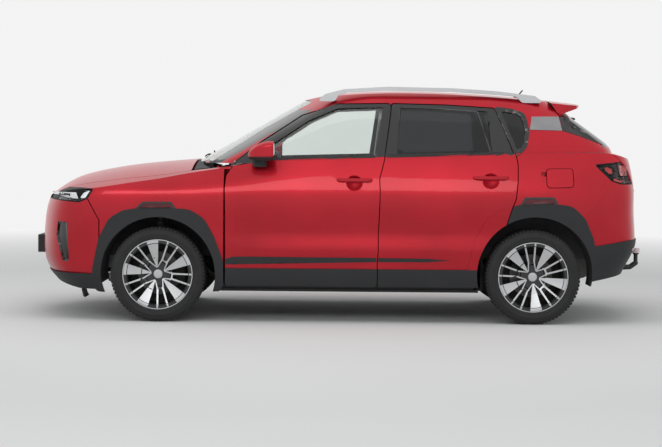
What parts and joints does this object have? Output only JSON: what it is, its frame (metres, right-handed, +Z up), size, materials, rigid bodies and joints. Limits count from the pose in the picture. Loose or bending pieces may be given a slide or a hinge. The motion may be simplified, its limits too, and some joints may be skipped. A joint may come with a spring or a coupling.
{
  "type": "crossover suv",
  "caption": "Five-door crossover with raised body, black lower cladding, roof rails, rear tow ball and steered front wheels.",
  "frame": {"origin": "on the ground, in the middle of the car's overall length and width", "axes": "+X to the front of the car, +Y to its left, +Z up"},
  "size_m": [4.438, 2.086, 1.646],
  "materials": {
    "paint": "metallic red gloss",
    "cladding": "grained dark grey",
    "gloss_black": "gloss black",
    "glass": "clear",
    "glass_dark": "tinted",
    "rail": "satin",
    "alloy": "machined faces over gloss black",
    "tyre": "matt rubber",
    "lamp": "clear cover over chrome and black",
    "tail_lamp": "dark red",
    "mirror_housing": "red cap over black",
    "interior": "soft grained",
    "fabric": "woven dark grey",
    "leather": "black",
    "underbody": "satin sealed",
    "chassis": "cast and painted black",
    "steel": "black powder coat",
    "exhaust": "dull stainless",
    "engine": "cast"
  },
  "bodies": {
    "root": {"side_frames": "paint", "floor_pan": "underbody", "roof_panel": "paint", "front_fenders": "paint", "front_bumper": "paint", "grille": "gloss_black", "headlamps": "lamp", "tail_lamps": "tail_lamp", "rear_bumper": "paint", "lower_cladding": "cladding", "fixed_glass": "glass", "roof_rails": "rail", "tow_hitch": "steel", "dashboard": "interior", "seats": "fabric", "engine_block": "engine", "exhaust": "exhaust", "front_suspension": "chassis", "rear_axle": "chassis", "cowl_panel": "cladding"},
    "hood": {"hood": "paint"},
    "tailgate": {"tailgate": "paint", "rear_window": "glass_dark"},
    "fuel_flap": {"fuel_flap": "paint"},
    "steering_wheel": {"steering_wheel": "leather"},
    "front_door_left": {"front_door_left": "paint", "front_door_glass_left": "glass", "door_mirror_left": "mirror_housing"},
    "rear_door_left": {"rear_door_left": "paint", "rear_door_glass_left": "glass_dark"},
    "knuckle_left": {"knuckle_left": "chassis"},
    "wheel_front_left": {"front_tyre_left": "tyre", "front_rim_left": "alloy"},
    "wheel_rear_left": {"rear_tyre_left": "tyre", "rear_rim_left": "alloy"},
    "front_door_right": {"front_door_right": "paint", "front_door_glass_right": "glass", "door_mirror_right": "mirror_housing"},
    "rear_door_right": {"rear_door_right": "paint", "rear_door_glass_right": "glass_dark"},
    "knuckle_right": {"knuckle_right": "chassis"},
    "wheel_front_right": {"front_tyre_right": "tyre", "front_rim_right": "alloy"},
    "wheel_rear_right": {"rear_tyre_right": "tyre", "rear_rim_right": "alloy"}
  },
  "joints": [
    {"name": "front_door_left_hinge", "type": "hinge", "parent": "root", "child": "front_door_left", "pos_m": [0.773, 0.883, 0.784], "axis": [0, 0, -1], "range_deg": [0, 65]},
    {"name": "rear_door_left_hinge", "type": "hinge", "parent": "root", "child": "rear_door_left", "pos_m": [-0.286, 0.883, 0.784], "axis": [0, 0, -1], "range_deg": [0, 65]},
    {"name": "steer_left", "type": "hinge", "parent": "root", "child": "knuckle_left", "pos_m": [1.282, 0.692, 0.328], "axis": [0, 0, 1], "range_deg": [-33, 33]},
    {"name": "wheel_front_left_spin", "type": "hinge", "parent": "knuckle_left", "child": "wheel_front_left", "pos_m": [1.282, 0.782, 0.328], "axis": [0, 1, 0], "continuous": true},
    {"name": "wheel_rear_left_spin", "type": "hinge", "parent": "root", "child": "wheel_rear_left", "pos_m": [-1.318, 0.782, 0.328], "axis": [0, 1, 0], "continuous": true},
    {"name": "front_door_right_hinge", "type": "hinge", "parent": "root", "child": "front_door_right", "pos_m": [0.773, -0.883, 0.784], "axis": [0, 0, 1], "range_deg": [0, 65]},
    {"name": "rear_door_right_hinge", "type": "hinge", "parent": "root", "child": "rear_door_right", "pos_m": [-0.286, -0.883, 0.784], "axis": [0, 0, 1], "range_deg": [0, 65]},
    {"name": "steer_right", "type": "hinge", "parent": "root", "child": "knuckle_right", "pos_m": [1.282, -0.692, 0.328], "axis": [0, 0, 1], "range_deg": [-33, 33]},
    {"name": "wheel_front_right_spin", "type": "hinge", "parent": "knuckle_right", "child": "wheel_front_right", "pos_m": [1.282, -0.782, 0.328], "axis": [0, 1, 0], "continuous": true},
    {"name": "wheel_rear_right_spin", "type": "hinge", "parent": "root", "child": "wheel_rear_right", "pos_m": [-1.318, -0.782, 0.328], "axis": [0, 1, 0], "continuous": true},
    {"name": "hood_hinge", "type": "hinge", "parent": "root", "child": "hood", "pos_m": [0.95, 0, 1.045], "axis": [0, -1, 0], "range_deg": [0, 50]},
    {"name": "tailgate_hinge", "type": "hinge", "parent": "root", "child": "tailgate", "pos_m": [-1.376, 0, 1.537], "axis": [0, 1, 0], "range_deg": [0, 80]},
    {"name": "fuel_flap_hinge", "type": "hinge", "parent": "root", "child": "fuel_flap", "pos_m": [-1.377, 0.85894, 1.015], "axis": [0, 0, -1], "range_deg": [0, 85]},
    {"name": "steering_wheel_turn", "type": "hinge", "parent": "root", "child": "steering_wheel", "pos_m": [0.412, 0.37, 1.01], "axis": [-0.9135, 0, 0.4067], "range_deg": [-480, 480]}
  ],
  "couplings": [
    {"joint": "steer_right", "follows": "steer_left", "ratio": 1},
    {"joint": "steering_wheel_turn", "follows": "steer_left", "ratio": 14.5}
  ]
}
